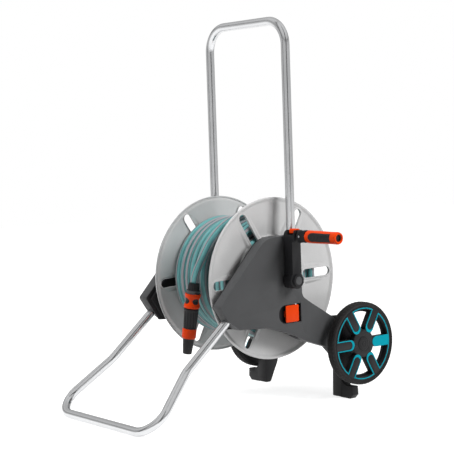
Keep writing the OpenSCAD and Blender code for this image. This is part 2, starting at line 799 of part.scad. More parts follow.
module grip_fork() {
    color(dark_colour) placed() difference() {
        union() {
            for (s = SIDES) on_y_side(s) {
                rod_y(8, tongue_half + 0.3, fork_half, hinge_x, knuckle_z);
                block([hinge_x - 4, tongue_half + 0.3, knuckle_z - fork_half],
                    [fork_out - 8, fork_half, knuckle_z + fork_half]);
            }
            prism_x(rounded([[-fork_half, knuckle_z - fork_half, 4], [fork_half, knuckle_z - fork_half, 4],
                [fork_half, knuckle_z + fork_half, 4], [-fork_half, knuckle_z + fork_half, 4]]),
                fork_out - 9, fork_out);
        }
        rod_y(fold_pin_r + run_gap, -fork_half - 1, fork_half + 1, hinge_x, knuckle_z);
        rod_x(spindle_r, fork_out - 8, fork_out + 1, 0, knuckle_z);
    }
}

module grip_spindle() {
    color(steel_colour) placed() rod_x(spindle_r, fork_out - 8, grip_out - 10.5, 0, knuckle_z);
}

module grip_screw() {
    color(steel_colour) placed() difference() {
        rod_x(6.8, grip_out - 10.5, grip_out - 7, 0, knuckle_z);
        rod_x(2.2, grip_out - 9, grip_out - 6, 0, knuckle_z);
    }
}

// The soft panels' outline on each side of the grip.
module inlay_zone() {
    half = 9.3;
    from = grip_in + 12 + half;
    for (s = SIDES) on_y_side(s) {
        block([from, 4, knuckle_z - half], [grip_in + 78, 20, knuckle_z + half]);
        rod_y(half, 4, 20, from, knuckle_z);
    }
}

module grip_sleeve() {
    color(accent_colour) placed() difference() {
        turned_x([
            [spindle_r + run_gap, grip_in], [grip_r - 2, grip_in], [grip_r, grip_in + 3],
            [grip_r - 1, grip_out - 3], [grip_r - 3, grip_out], [7.2, grip_out], [7.2, grip_out - 10.8],
            [spindle_r + run_gap, grip_out - 10.8]
        ], 0, knuckle_z);
        intersection() {
            inlay_zone();
            pipe_x(grip_r + 2, grip_r - 2.2, grip_in, grip_out, 0, knuckle_z);
        }
    }
}

module grip_inlays() {
    color(seal_colour) placed() intersection() {
        inlay_zone();
        pipe_x(grip_r, grip_r - 2.2, grip_in, grip_out, 0, knuckle_z);
    }
}

module tyre(side) {
    color(seal_colour) placed() on_side(side) turned_x([
        [rim_r, wheel_in + 2], [wheel_r - 2.5, wheel_in], [wheel_r - 0.7, wheel_in + 1.6],
        [wheel_r, wheel_in + 4], [wheel_r, wheel_out - 4], [wheel_r - 0.7, wheel_out - 1.6],
        [wheel_r - 2.5, wheel_out], [rim_r, wheel_out - 2]
    ], wheel_y, wheel_z);
}

// Six fingers that point at the hub, each half_w to a side and with a round end at r.
module fingers_2d(half_w, r, from = 0) {
    for (k = [from:5]) rotate(60 * k) {
        translate([r + half_w, -half_w]) square([rim_r, 2 * half_w]);
        translate([r + half_w, 0]) circle(r = half_w);
    }
}

// The open sectors between the spokes, out to radius r.
module sectors_2d(r) {
    difference() {
        circle(r = r);
        circle(r = 31);
        fingers_2d(spoke_half, 26);
    }
}
module wheel_face(x) { translate([x, wheel_y, wheel_z]) rotate([90, 0, 90]) children(); }

module rim(side) {
    color(dark_colour) placed() on_side(side) difference() {
        turned_x([[axle_r + run_gap, wheel_in + 0.3], [wheel_hub_r, wheel_in + 0.3],
            [wheel_hub_r, wheel_out - rim_web], [rim_r - 6, wheel_out - rim_web],
            [rim_r - 6, wheel_in + 2], [rim_r, wheel_in + 2], [rim_r, wheel_out - 2],
            [rim_r - 2, wheel_out - 1], [13, wheel_out - 1], [13, wheel_out - 7.2],
            [axle_r + run_gap, wheel_out - 7.2]], wheel_y, wheel_z);
        wheel_face(wheel_out - rim_web - 1) linear_extrude(30) sectors_2d(ledge_r);
        wheel_face(wheel_out - rim_web + wall) linear_extrude(30) sectors_2d(window_r - 2);
        wheel_face(wheel_out - 2.5) linear_extrude(5) trim_2d();
    }
}

module trim_2d() {
    difference() {
        circle(r = window_r + trim_line);
        difference() {
            circle(r = window_r);
            fingers_2d(spoke_half, 28);
        }
        intersection() {
            circle(r = window_r + 2 * trim_line);
            fingers_2d(spoke_half - trim_line, 34, 1);
        }
    }
}

module rim_trim(side) {
    color(ring_colour) placed() on_side(side) wheel_face(wheel_out - 2.5) linear_extrude(2) trim_2d();
}

module hub_cap(side) {
    color(dark_colour) placed() on_side(side)
        turned_x([[0, wheel_out - 3], [13, wheel_out - 3], [13, wheel_out - 1], [16, wheel_out - 1],
            [15, wheel_out + 0.3], [0, wheel_out + 0.8]], wheel_y, wheel_z);
}

frame_outer(1);  // frame_outer_right
frame_inner(1);  // frame_inner_right
frame_outer(-1);  // frame_outer_left
frame_inner(-1);  // frame_inner_left
frame_screws();
foot_tube();
rear_foot(1);  // rear_foot_right
rear_foot(-1);  // rear_foot_left
rear_foot_bolts();
wheel_axle();
axle_retainers();
shaft_bushes();
handle_guides();
button_trays();
lock_spring(1);  // lock_spring_right
lock_spring(-1);  // lock_spring_left
water_inlet_elbow();
water_inlet_nipple();
inlet_screws();
handle_tube();
handle_end_plugs();
lock_button(1);  // lock_button_right
lock_button(-1);  // lock_button_left
flange(1);  // flange_right
flange(-1);  // flange_left
drum();
flange_screws();
drive_shaft();
water_shaft();
shaft_o_rings();
hose_outlet();
hose_tail();
hose_coil();
hose_end();
connector_nut();
connector_body();
connector_collar();
nozzle_body();
nozzle_ring();
nozzle_tip();
crank_arm();
crank_cap();
crank_screw();
fold_pin();
latch_spring();
fold_latch();
grip_fork();
grip_spindle();
grip_screw();
grip_sleeve();
grip_inlays();
tyre(1);  // tyre_right
rim(1);  // rim_right
rim_trim(1);  // rim_trim_right
hub_cap(1);  // hub_cap_right
tyre(-1);  // tyre_left
rim(-1);  // rim_left
rim_trim(-1);  // rim_trim_left
hub_cap(-1);  // hub_cap_left
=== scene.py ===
"""Looks for the garden hose reel cart: materials, moulded shells, tubes, tyres and the wound hose.

Lengths in the building functions are millimetres in the cart's own axes: the origin is on the ground
under the reel axle, +X runs towards the crank, +Y towards the wheels and +Z up.
"""

import json
import math

import bmesh
import bpy
from mathutils import Matrix, Vector, noise


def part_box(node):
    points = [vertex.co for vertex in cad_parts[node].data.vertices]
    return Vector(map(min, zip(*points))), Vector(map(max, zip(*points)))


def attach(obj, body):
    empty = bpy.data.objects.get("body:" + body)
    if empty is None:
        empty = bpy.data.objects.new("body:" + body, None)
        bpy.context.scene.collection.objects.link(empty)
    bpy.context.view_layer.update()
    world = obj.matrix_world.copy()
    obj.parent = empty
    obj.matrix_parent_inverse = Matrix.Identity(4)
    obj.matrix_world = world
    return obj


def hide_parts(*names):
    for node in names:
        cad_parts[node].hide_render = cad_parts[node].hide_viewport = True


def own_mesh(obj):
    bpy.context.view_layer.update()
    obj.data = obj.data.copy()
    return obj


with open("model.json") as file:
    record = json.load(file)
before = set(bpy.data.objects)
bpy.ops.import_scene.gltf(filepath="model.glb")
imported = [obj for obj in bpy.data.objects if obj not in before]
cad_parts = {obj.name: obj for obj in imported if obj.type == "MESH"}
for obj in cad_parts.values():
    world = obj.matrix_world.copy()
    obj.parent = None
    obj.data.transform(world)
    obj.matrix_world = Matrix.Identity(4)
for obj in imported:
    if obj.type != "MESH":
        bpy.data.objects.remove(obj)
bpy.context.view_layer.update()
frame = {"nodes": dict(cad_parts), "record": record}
nodes = frame["nodes"]

SIDES = {"right": 1, "left": -1}
body_of = {n: b for b, names in frame["record"]["behaviour"]["bodies"].items() for n in names}
slot_of = {s["node"]: s["material_slot"] for s in frame["record"]["subparts"]}


def middle(node):
    low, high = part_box(node)
    return (low + high) / 2


def size_mm(node):
    low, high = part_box(node)
    return (high - low) * 1000


# The cart's origin in the row's frame, and the places that the CAD settles.
ORIGIN = Vector((
    (middle("flange_right").x + middle("flange_left").x) / 2,
    middle("flange_right").y,
    0.0,
))


def cart(x, y, z):
    """A point of the cart, given in millimetres, in the row's frame in metres."""
    return ORIGIN + Vector((x, y, z)) / 1000


def from_row(point):
    return (point - ORIGIN) * 1000


REEL_Z = from_row(middle("flange_right")).z
WHEEL = from_row(middle("tyre_right"))

# ---------------------------------------------------------------- camera
CAMERA_AT = (2255.9, -1831.8, 589.7)
CAMERA_AZIMUTH = 51.66
CAMERA_ELEVATION = 3.92
CAMERA_ROLL = -1.91
LENS_MM = 102.83
SENSOR_MM = 36.0


def add_camera():
    az, el, roll = (math.radians(a) for a in (CAMERA_AZIMUTH, CAMERA_ELEVATION, CAMERA_ROLL))
    forward = Vector((-math.sin(az) * math.cos(el), math.cos(az) * math.cos(el), -math.sin(el)))
    flat_right = Vector((math.cos(az), math.sin(az), 0))
    flat_up = flat_right.cross(forward)
    right = flat_right * math.cos(roll) + flat_up * math.sin(roll)
    up = flat_up * math.cos(roll) - flat_right * math.sin(roll)
    data = bpy.data.cameras.new("camera")
    data.lens = LENS_MM
    data.sensor_width = SENSOR_MM
    data.clip_start = 0.05
    data.clip_end = 30
    camera = bpy.data.objects.new("camera", data)
    camera.matrix_world = Matrix.Translation(cart(*CAMERA_AT)) @ Matrix(
        (right, up, -forward)).transposed().to_4x4()
    bpy.context.collection.objects.link(camera)
    bpy.context.scene.camera = camera


# ---------------------------------------------------------------- mesh helpers
def new_object(name, vertices, faces, smooth_deg=38):
    """A mesh object from vertices in cart millimetres, with edges sharper than the angle kept crisp."""
    mesh = bpy.data.meshes.new(name)
    mesh.from_pydata([cart(*v) for v in vertices], [], faces)
    mesh.validate()
    obj = bpy.data.objects.new(name, mesh)
    bpy.context.collection.objects.link(obj)
    finish_normals(obj, smooth_deg)
    return obj


def finish_normals(obj, smooth_deg):
    bm = bmesh.new()
    bm.from_mesh(obj.data)
    bmesh.ops.remove_doubles(bm, verts=bm.verts, dist=1e-6)
    bmesh.ops.recalc_face_normals(bm, faces=bm.faces)
    limit = math.radians(smooth_deg)
    for face in bm.faces:
        face.smooth = True
    for edge in bm.edges:
        edge.smooth = len(edge.link_faces) != 2 or edge.calc_face_angle(0) < limit
    bm.to_mesh(obj.data)
    bm.free()


def add_piece(obj, body, slot, material, replaced=()):
    obj.data.materials.clear()
    obj.data.materials.append(material)
    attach(obj, body)
    if replaced:
        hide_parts(*replaced)
    return obj


def turned(name, profile, centre, axis, steps=96, shape=None):
    """A closed solid turned about an axis through centre, from (radius, distance along) points.

    shape(radius, along, angle) may return a changed (radius, along).
    """
    axis = Vector(axis).normalized()
    side = axis.orthogonal().normalized() if abs(axis.x) < 0.9 else Vector((0, 1, 0))
    side = (side - axis * side.dot(axis)).normalized()
    other = axis.cross(side)
    vertices, faces = [], []
    count = len(profile)
    for i in range(steps):
        angle = 2 * math.pi * i / steps
        for radius, along in profile:
            if shape:
                radius, along = shape(radius, along, angle)
            out = side * math.cos(angle) + other * math.sin(angle)
            vertices.append(tuple(Vector(centre) + axis * along + out * radius))
    for i in range(steps):
        j = (i + 1) % steps
        for k in range(count):
            m = (k + 1) % count
            quad = [i * count + k, i * count + m, j * count + m, j * count + k]
            faces.append(quad)
    obj = new_object(name, vertices, faces)
    bm = bmesh.new()
    bm.from_mesh(obj.data)
    bmesh.ops.dissolve_degenerate(bm, edges=bm.edges, dist=1e-7)
    bm.to_mesh(obj.data)
    bm.free()
    return obj


def softened(node, width, segments=2, angle=32, name=None, smooth_deg=34):
    """A copy of a CAD node's mesh with its sharp edges rounded by width millimetres."""
    source = nodes[node].data
    bm = bmesh.new()
    bm.from_mesh(source)
    bmesh.ops.remove_doubles(bm, verts=bm.verts, dist=2e-6)
    bmesh.ops.dissolve_limit(
        bm, angle_limit=math.radians(0.6), verts=bm.verts, edges=bm.edges, delimit={"NORMAL"})
    mesh = bpy.data.meshes.new(name or node + "_shell")
    bm.to_mesh(mesh)
    bm.free()
    obj = bpy.data.objects.new(name or node + "_shell", mesh)
    bpy.context.collection.objects.link(obj)
    bevel = obj.modifiers.new("edges", "BEVEL")
    bevel.width = width / 1000
    bevel.segments = segments
    bevel.limit_method = "ANGLE"
    bevel.angle_limit = math.radians(angle)
    bevel.use_clamp_overlap = True
    bevel.miter_outer = "MITER_ARC"
    apply_modifiers(obj)
    finish_normals(obj, smooth_deg)
    return add_piece(obj, body_of[node], slot_of[node], materials[slot_of[node]], [node])


def apply_modifiers(obj):
    bpy.context.view_layer.update()
    evaluated = obj.evaluated_get(bpy.context.evaluated_depsgraph_get())
    mesh = bpy.data.meshes.new_from_object(evaluated)
    obj.modifiers.clear()
    old = obj.data
    obj.data = mesh
    bpy.data.meshes.remove(old)


def smoothstep(low, high, value):
    t = min(1.0, max(0.0, (value - low) / (high - low)))
    return t * t * (3 - 2 * t)


def sweep(name, points, radius, sides, twist=None, close_ends=True):
    """A tube swept along points (cart millimetres), with UVs: u around it and v along it in metres."""
    count = len(points)
    tangents = []
    for i in range(count):
        t = (points[min(i + 1, count - 1)] - points[max(i - 1, 0)]).normalized()
        tangents.append(t)
    normal = tangents[0].orthogonal().normalized()
    vertices, along, length = [], [], 0.0
    for i in range(count):
        if i:
            length += (points[i] - points[i - 1]).length / 1000
            turn = tangents[i - 1].rotation_difference(tangents[i])
            normal = turn @ normal
            normal = (normal - tangents[i] * normal.dot(tangents[i])).normalized()
        binormal = tangents[i].cross(normal)
        offset = twist(length) if twist else 0.0
        r = radius(i) if callable(radius) else radius
        for k in range(sides):
            a = 2 * math.pi * k / sides + offset
            vertices.append(tuple(points[i] + (normal * math.cos(a) + binormal * math.sin(a)) * r))
        along.append(length)
    faces = []
    for i in range(count - 1):
        for k in range(sides):
            m = (k + 1) % sides
            faces.append([i * sides + k, i * sides + m, (i + 1) * sides + m, (i + 1) * sides + k])
    mesh = bpy.data.meshes.new(name)
    if close_ends:
        faces.append(list(range(sides - 1, -1, -1)))
        faces.append([(count - 1) * sides + k for k in range(sides)])
    mesh.from_pydata([cart(*v) for v in vertices], [], faces)
    uv = mesh.uv_layers.new(name="along")
    quads = (count - 1) * sides
    for f in range(quads):
        i, k = divmod(f, sides)
        corners = [(k, i), (k + 1, i), (k + 1, i + 1), (k, i + 1)]
        for corner, (ck, ci) in zip(mesh.polygons[f].loop_indices, corners):
            uv.data[corner].uv = (ck / sides, along[ci])
    for polygon in mesh.polygons:
        polygon.use_smooth = True
    if close_ends:
        mesh.polygons[-1].use_smooth = False
        mesh.polygons[-2].use_smooth = False
    obj = bpy.data.objects.new(name, mesh)
    bpy.context.collection.objects.link(obj)
    return obj


# ---------------------------------------------------------------- materials
class Graph:
    """A short way to write a material's nodes."""

    def __init__(self, name):
        self.material = bpy.data.materials.new(name)
        self.material.use_nodes = True
        self.tree = self.material.node_tree
        self.tree.nodes.clear()
        self.shader = self.add("ShaderNodeBsdfPrincipled")
        output = self.add("ShaderNodeOutputMaterial")
        self.link(self.shader.outputs[0], output.inputs["Surface"])
        self.place = self.add("ShaderNodeTexCoord").outputs["Object"]

    def add(self, kind, **settings):
        node = self.tree.nodes.new(kind)
        for key, value in settings.items():
            setattr(node, key, value)
        return node

    def link(self, a, b):
        self.tree.links.new(a, b)

    def put(self, node, index, value):
        if hasattr(value, "is_output"):
            self.link(value, node.inputs[index])
        else:
            node.inputs[index].default_value = value

    def scaled(self, scale):
        node = self.add("ShaderNodeMapping")
        self.link(self.place, node.inputs["Vector"])
        node.inputs["Scale"].default_value = scale
        return node.outputs[0]

    def noise(self, scale, detail=3.0, vector=None, roughness=0.5):
        node = self.add("ShaderNodeTexNoise")
        self.link(vector or self.place, node.inputs["Vector"])
        node.inputs["Scale"].default_value = scale
        node.inputs["Detail"].default_value = detail
        node.inputs["Roughness"].default_value = roughness
        return node.outputs["Fac"]

    def math(self, operation, a, b=0.0, c=0.0):
        node = self.add("ShaderNodeMath", operation=operation)
        for i, value in enumerate((a, b, c)):
            self.put(node, i, value)
        return node.outputs[0]

    def span(self, value, low, high, to_low, to_high):
        node = self.add("ShaderNodeMapRange")
        for i, v in enumerate((value, low, high, to_low, to_high)):
            self.put(node, i, v)
        return node.outputs[0]

    def mix(self, factor, a, b):
        node = self.add("ShaderNodeMix", data_type="RGBA")
        self.put(node, 0, factor)
        self.put(node, 6, a)
        self.put(node, 7, b)
        return node.outputs[2]

    def bump(self, height, distance, strength=1.0, normal=None):
        node = self.add("ShaderNodeBump")
        node.inputs["Strength"].default_value = strength
        node.inputs["Distance"].default_value = distance
        self.link(height, node.inputs["Height"])
        if normal:
            self.link(normal, node.inputs["Normal"])
        return node.outputs[0]

    def edges(self, radius):
        """1 on a sharp edge and 0 on flat ground."""
        bevel = self.add("ShaderNodeBevel", samples=4)
        bevel.inputs["Radius"].default_value = radius
        flat = self.add("ShaderNodeNewGeometry").outputs["Normal"]
        dot = self.add("ShaderNodeVectorMath", operation="DOT_PRODUCT")
        self.link(bevel.outputs[0], dot.inputs[0])
        self.link(flat, dot.inputs[1])
        return self.span(dot.outputs["Value"], 0.99, 0.80, 0.0, 1.0)

    def to(self, name, value):
        self.put(self.shader, name, value)


def tone(colour, factor):
    return tuple(min(1.0, c * factor) for c in colour) + (1.0,)


def plastic(name, colour, roughness, grain=0.00003, wear=0.25, specular=0.5, cloud=0.10, coat=0.0):
    """Moulded plastic: faint clouding, a fine grain, uneven gloss and paler edges."""
    g = Graph(name)
    clouds = g.noise(9.0, 4.0)
    speck = g.noise(900.0, 2.0)
    base = g.mix(g.span(clouds, 0.3, 0.7, 0.0, 1.0), tone(colour, 1 - cloud), tone(colour, 1 + cloud))
    base = g.mix(g.span(speck, 0.35, 0.65, 0.0, 0.18), base, tone(colour, 0.80))
    scuffs = g.noise(60.0, 6.0, g.scaled((1.0, 1.0, 3.0)), 0.7)
    worn = g.math("MULTIPLY", g.edges(0.0012), g.span(scuffs, 0.42, 0.68, 0.0, wear))
    paler = tuple(min(1.0, c * 1.5 + 0.05) for c in colour) + (1.0,)
    g.to("Base Color", g.mix(worn, base, paler))
    uneven = g.span(g.noise(22.0, 5.0), 0.3, 0.7, roughness - 0.05, roughness + 0.06)
    g.to("Roughness", g.math("ADD", uneven, g.span(scuffs, 0.6, 0.8, 0.0, 0.08)))
    g.to("Specular IOR Level", specular)
    if coat:
        g.to("Coat Weight", coat)
        g.to("Coat Roughness", 0.12)
    g.to("Normal", g.bump(g.noise(2600.0, 2.0), grain, 0.6, g.bump(g.noise(420.0, 3.0), grain * 2, 0.35)))
    return g.material


def metal(name, colour, roughness, scratch_scale, streak=0.04, grain=0.000012, relief=0.35):
    """Bare or plated metal with drawn streaks along one direction and a faint haze."""
    g = Graph(name)
    lines = g.noise(260.0, 5.0, g.scaled(scratch_scale), 0.65)
    haze = g.noise(18.0, 4.0)
    g.to("Base Color", g.mix(g.span(haze, 0.3, 0.7, 0.0, 1.0), tone(colour, 0.95), tone(colour, 1.02)))
    g.to("Metallic", 1.0)
    g.to("Roughness", g.math("ADD", g.span(lines, 0.35, 0.7, roughness - streak / 2, roughness + streak),
                             g.span(haze, 0.4, 0.75, 0.0, streak)))
    g.to("Normal", g.bump(lines, grain, relief))
    return g.material


def silver_plastic(name, colour):
    """Silver-filled moulding: a soft metallic flake, flow lines and a satin gloss."""
    g = Graph(name)
    flake = g.noise(3200.0, 1.0)
    flow = g.noise(14.0, 5.0, None, 0.6)
    base = g.mix(g.span(flow, 0.3, 0.7, 0.0, 1.0), tone(colour, 0.93), tone(colour, 1.06))
    base = g.mix(g.span(flake, 0.4, 0.75, 0.0, 0.35), base, tone(colour, 1.30))
    g.to("Base Color", base)
    g.to("Metallic", 0.12)
    g.to("Roughness", g.span(g.noise(30.0, 5.0), 0.3, 0.7, 0.36, 0.46))
    g.to("Normal", g.bump(flake, 0.00002, 0.4, g.bump(g.noise(300.0, 3.0), 0.00004, 0.3)))
    return g.material


def hose_skin(name, teal, dark, stripe):
    """Hose wall: stripes along it, fine ribs, and a soft sheen."""
    g = Graph(name)
    uv = g.add("ShaderNodeUVMap", uv_map="along").outputs[0]
    split = g.add("ShaderNodeSeparateXYZ")
    g.link(uv, split.inputs[0])
    around, along = split.outputs[0], split.outputs[1]
    wander = g.math("MULTIPLY", g.noise(5.0, 2.0), 0.04)
    turned_u = g.math("ADD", around, wander)
    thirds = g.math("FRACT", g.math("MULTIPLY", turned_u, 3.0))
    off = g.math("ABSOLUTE", g.math("SUBTRACT", thirds, 0.5))
    is_stripe = g.span(off, 0.185, 0.165, 0.0, 1.0)
    is_dark = g.span(off, 0.25, 0.23, 0.0, 1.0)
    clouds = g.noise(30.0, 4.0)
    base = g.mix(g.span(clouds, 0.3, 0.7, 0.0, 1.0), tone(teal, 0.85), tone(teal, 1.15))
    base = g.mix(g.math("MULTIPLY", is_dark, 0.85), base, tone(dark, 1.0))
    base = g.mix(is_stripe, base, tone(stripe, 1.0))
    dust = g.noise(140.0, 5.0, None, 0.7)
    g.to("Base Color", g.mix(g.span(dust, 0.60, 0.78, 0.0, 0.22), base, (0.45, 0.47, 0.46, 1.0)))
    g.to("Roughness", g.span(g.noise(70.0, 4.0), 0.3, 0.7, 0.30, 0.42))
    ribs = g.math("SINE", g.math("MULTIPLY", around, 2 * math.pi * 36))
    rings = g.math("SINE", g.math("MULTIPLY", along, 2 * math.pi * 260))
    mesh_height = g.math("ADD", g.math("MULTIPLY", ribs, 0.5), g.math("MULTIPLY", rings, 0.25))
    g.to("Normal", g.bump(mesh_height, 0.00012, 0.5, g.bump(g.noise(260.0, 3.0), 0.0002, 0.2)))
    g.to("Sheen Weight", 0.12)
    g.to("Sheen Roughness", 0.5)
    return g.material


def rubber(name, colour, roughness, grain=0.00010):
    """Rubber: matt, slightly dusty in patches, with a pitted skin."""
    g = Graph(name)
    dust = g.noise(24.0, 6.0, None, 0.7)
    base = g.mix(g.span(g.noise(300.0, 3.0), 0.3, 0.7, 0.0, 1.0), tone(colour, 0.8), tone(colour, 1.25))
    g.to("Base Color", g.mix(g.span(dust, 0.52, 0.75, 0.0, 0.25), base, (0.075, 0.073, 0.068, 1.0)))
    g.to("Roughness", g.span(dust, 0.3, 0.75, roughness - 0.06, roughness + 0.12))
    g.to("Normal", g.bump(g.noise(1400.0, 4.0), grain, 0.5))
    g.to("Specular IOR Level", 0.25)
    g.to("Sheen Weight", 0.05)
    return g.material


ORANGE = (0.70, 0.048, 0.002)
TEAL = (0.0, 0.30, 0.385)


def make_materials():
    return {
        "frame_grey": plastic("frame_grey", (0.060, 0.061, 0.063), 0.50, 0.00004, 0.30, 0.28),
        "dark_plastic": plastic("dark_plastic", (0.010, 0.010, 0.011), 0.46, 0.00004, 0.20, 0.22),
        "reel_silver": silver_plastic("reel_silver", (0.50, 0.50, 0.50)),
        "accent_orange": plastic("accent_orange", ORANGE, 0.38, 0.00002, 0.10, 0.16, 0.05),
        "ring_teal": plastic("ring_teal", TEAL, 0.42, 0.00001, 0.06, 0.08, 0.04, 0.0),
        "tube_metal": metal("tube_metal", (0.62, 0.625, 0.635), 0.18, (1.0, 1.0, 0.02), 0.03, 0.000004, 0.08),
        "steel": metal("steel", (0.62, 0.62, 0.63), 0.30, (1.0, 1.0, 1.0)),
        "brass": metal("brass", (0.76, 0.56, 0.28), 0.26, (0.05, 1.0, 1.0)),
        "collar_grey": plastic("collar_grey", (0.040, 0.041, 0.043), 0.36, 0.00003),
        "nipple_grey": plastic("nipple_grey", (0.38, 0.385, 0.39), 0.40, 0.00003),
        "hose_teal": hose_skin("hose_teal", (0.115, 0.325, 0.330), (0.012, 0.050, 0.056),
                               (0.25, 0.25, 0.27)),
        "seal_rubber": rubber("seal_rubber", (0.010, 0.010, 0.011), 0.62),
        "tyre_rubber": rubber("tyre_rubber", (0.012, 0.0115, 0.0115), 0.66, 0.00015),
        "bush_plastic": plastic("bush_plastic", (0.74, 0.72, 0.64), 0.35, 0.00002),
    }


# ---------------------------------------------------------------- hose
HOSE_D = 17.0
HOSE_R = HOSE_D / 2
DRUM_R = size_mm("drum").y / 2
FIRST_R = DRUM_R + HOSE_R + 0.3
LAYER_RISE = 16.5
COIL_HALF = size_mm("hose_coil").x / 2
EDGE_X = COIL_HALF - HOSE_R
TAIL_BEND = 75.0
TAIL_CENTRE = FIRST_R - TAIL_BEND
TAIL_X = (-62.0, -78.0)
TAIL_TURN = 130.0
WRAP_R = FIRST_R + 2 * LAYER_RISE + HOSE_D
WRAP_TURN = 250.0
WRAP_END = 158.0
WRAP_X = (78.0, 19.0)
END_ROUTE = [(15.5, -141.5, 315), (12, -148, 297), (9, -151, 278)]
STEP_DEG = 6
# The reel angle where the winding ends and the free turn begins.
WOUND_TO = (WRAP_END - WRAP_TURN) % 360
# How much lower than the first layer the tail leaves the drum, and over what turn it rises.
TAIL_DROP, TAIL_RISE_DEG = 5.3, 90
# How far a turn strays sideways and up or down, as wound by hand.
STRAY_ACROSS, STRAY_RADIAL = 1.1, 0.7
# Points of the tail's bend, of the free turn, and between two points of the hanging end.
TAIL_STEPS, WRAP_STEPS, HANG_STEPS = 13, 44, 4
HOSE_SIDES = 18
# The turns of each layer, as steps across the drum: the top layer leaves one place empty.
LANES = [
    [0, 1, 2, 3, 4, 5, 6, 7, 8, 9],
    [8.5, 7.5, 6.5, 5.5, 4.5, 3.5, 2.5, 1.5, 0.5],
    [0, 1, 2, 3, 4, 5, 7, 8, 9],
]
LANE_PITCH = 2 * EDGE_X / 9
SHIFT_FROM, SHIFT_TO = 205.0, 262.0


def on_reel(x, radius, angle_deg):
    a = math.radians(angle_deg)
    return Vector((x, radius * math.cos(a), REEL_Z + radius * math.sin(a)))


def winding():
    """The wound turns: each lies straight and shifts to the next place at the lower front."""
    start = TAIL_TURN - 90
    lanes = [(lane, k) for k, row in enumerate(LANES) for lane in row]
    points = []
    total = (len(lanes) - 1) * 360 + WOUND_TO - start
    steps = int(total / STEP_DEG)
    for i in range(1, steps + 1):
        angle = start + total * i / steps
        turn, phase = divmod(angle, 360)
        turn = int(turn)
        lane, layer = lanes[min(turn, len(lanes) - 1)]
        next_lane, next_layer = lanes[min(turn + 1, len(lanes) - 1)]
        shift = smoothstep(SHIFT_FROM, SHIFT_TO, phase)
        x = -EDGE_X + LANE_PITCH * (lane + (next_lane - lane) * shift)
        radius = FIRST_R + LAYER_RISE * (layer + (next_layer - layer) * shift)
        wobble = noise.noise((phase / 70, turn * 1.7, 3.0))
        x += STRAY_ACROSS * wobble if 0 < lane < 9 else 0
        radius += STRAY_RADIAL * noise.noise((phase / 60, turn * 2.3, 9.0)) - 0.3
        grown = min(1.0, (angle - start) / TAIL_RISE_DEG)
        from_x = TAIL_X[1] * (1 - grown) + x * grown
        from_r = (FIRST_R - TAIL_DROP) * (1 - smoothstep(0, 1, grown)) + radius * smoothstep(0, 1, grown)
        points.append(on_reel(from_x, from_r, angle))
    return points


def tail_points():
    points = []
    for i in range(TAIL_STEPS + 1):
        a = math.radians(TAIL_TURN * i / TAIL_STEPS - 90)
        x = TAIL_X[0] + (TAIL_X[1] - TAIL_X[0]) * i / TAIL_STEPS
        points.append(Vector((x, TAIL_BEND * math.cos(a),
                              REEL_Z + TAIL_CENTRE + TAIL_BEND * math.sin(a))))
    return points


def free_end():
    points = []
    for i in range(WRAP_STEPS + 1):
        t = i / WRAP_STEPS
        angle = WRAP_END - WRAP_TURN * (1 - t)
        x = WRAP_X[0] + (WRAP_X[1] - WRAP_X[0]) * t
        points.append(on_reel(x, WRAP_R, angle))
    corners = [points[-2], points[-1]] + [Vector(p) for p in END_ROUTE]
    corners.append(corners[-1] * 2 - corners[-2])
    for i in range(1, len(corners) - 2):
        for k in range(1, HANG_STEPS + 1):
            points.append(curve_point(corners[i - 1:i + 3], k / HANG_STEPS))
    return points


def curve_point(p, t):
    """A point of the Catmull-Rom curve between the middle two of four points."""
    return 0.5 * (2 * p[1] + (p[2] - p[0]) * t + (2 * p[0] - 5 * p[1] + 4 * p[2] - p[3]) * t * t
                  + (3 * p[1] - p[0] - 3 * p[2] + p[3]) * t ** 3)


def smoothed(points, passes=2):
    for _ in range(passes):
        points = [points[0]] + [
            (points[i - 1] + 2 * points[i] + points[i + 1]) / 4 for i in range(1, len(points) - 1)
        ] + [points[-1]]
    return points


def add_hose():
    points = smoothed(tail_points() + winding() + free_end())
    hose = sweep("hose", points, HOSE_R, HOSE_SIDES, twist=lambda metres: 0.9 * math.sin(metres * 1.3))
    hose.data.materials.append(materials["hose_teal"])
    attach(hose, "reel")
    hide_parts("hose_tail", "hose_coil", "hose_end")
    return hose, points


# ---------------------------------------------------------------- bent tubes
TUBE_R = size_mm("handle_tube").y / 2
LEG_X, LEG_Y, LEG_BOTTOM, CROSSBAR_Z, HANDLE_BEND = 132.5, 24.0, 165.0, 841.5, 55.0
FOOT_Y, FOOT_SLOPE = -397.0, math.radians(40)
TUBE_SIDES, TUBE_GAP = 64, 20
# Half of the foot loop in its own sloping plane, with the radius of each bend.
FOOT_CORNERS = [(135, 335, 0), (135, 160, 70), (187.6, 0, 47)]


def bent_path(corners, bends, step_deg=3):
    """Points along straight runs joined by round bends; a bend of 0 is an end."""
    points = []
    for i, (corner, bend) in enumerate(zip(corners, bends)):
        if not bend:
            points.append(corner)
            continue
        back = (corners[i - 1] - corner).normalized()
        ahead = (corners[i + 1] - corner).normalized()
        half = back.angle(ahead) / 2
        centre = corner + (back + ahead).normalized() * bend / math.sin(half)
        start = corner + back * bend / math.tan(half) - centre
        axis = (-back).cross(ahead).normalized()
        turn = math.pi - 2 * half
        steps = max(4, round(math.degrees(turn) / step_deg))
        points += [centre + Matrix.Rotation(turn * k / steps, 3, axis) @ start
                   for k in range(steps + 1)]
    return spaced(points, TUBE_GAP)


def spaced(points, gap):
    """The same points, with more of them on the long straight runs."""
    result = [points[0]]
    for a, b in zip(points, points[1:]):
        parts = max(1, math.ceil((b - a).length / gap))
        result += [a.lerp(b, k / parts) for k in range(1, parts + 1)]
    return result


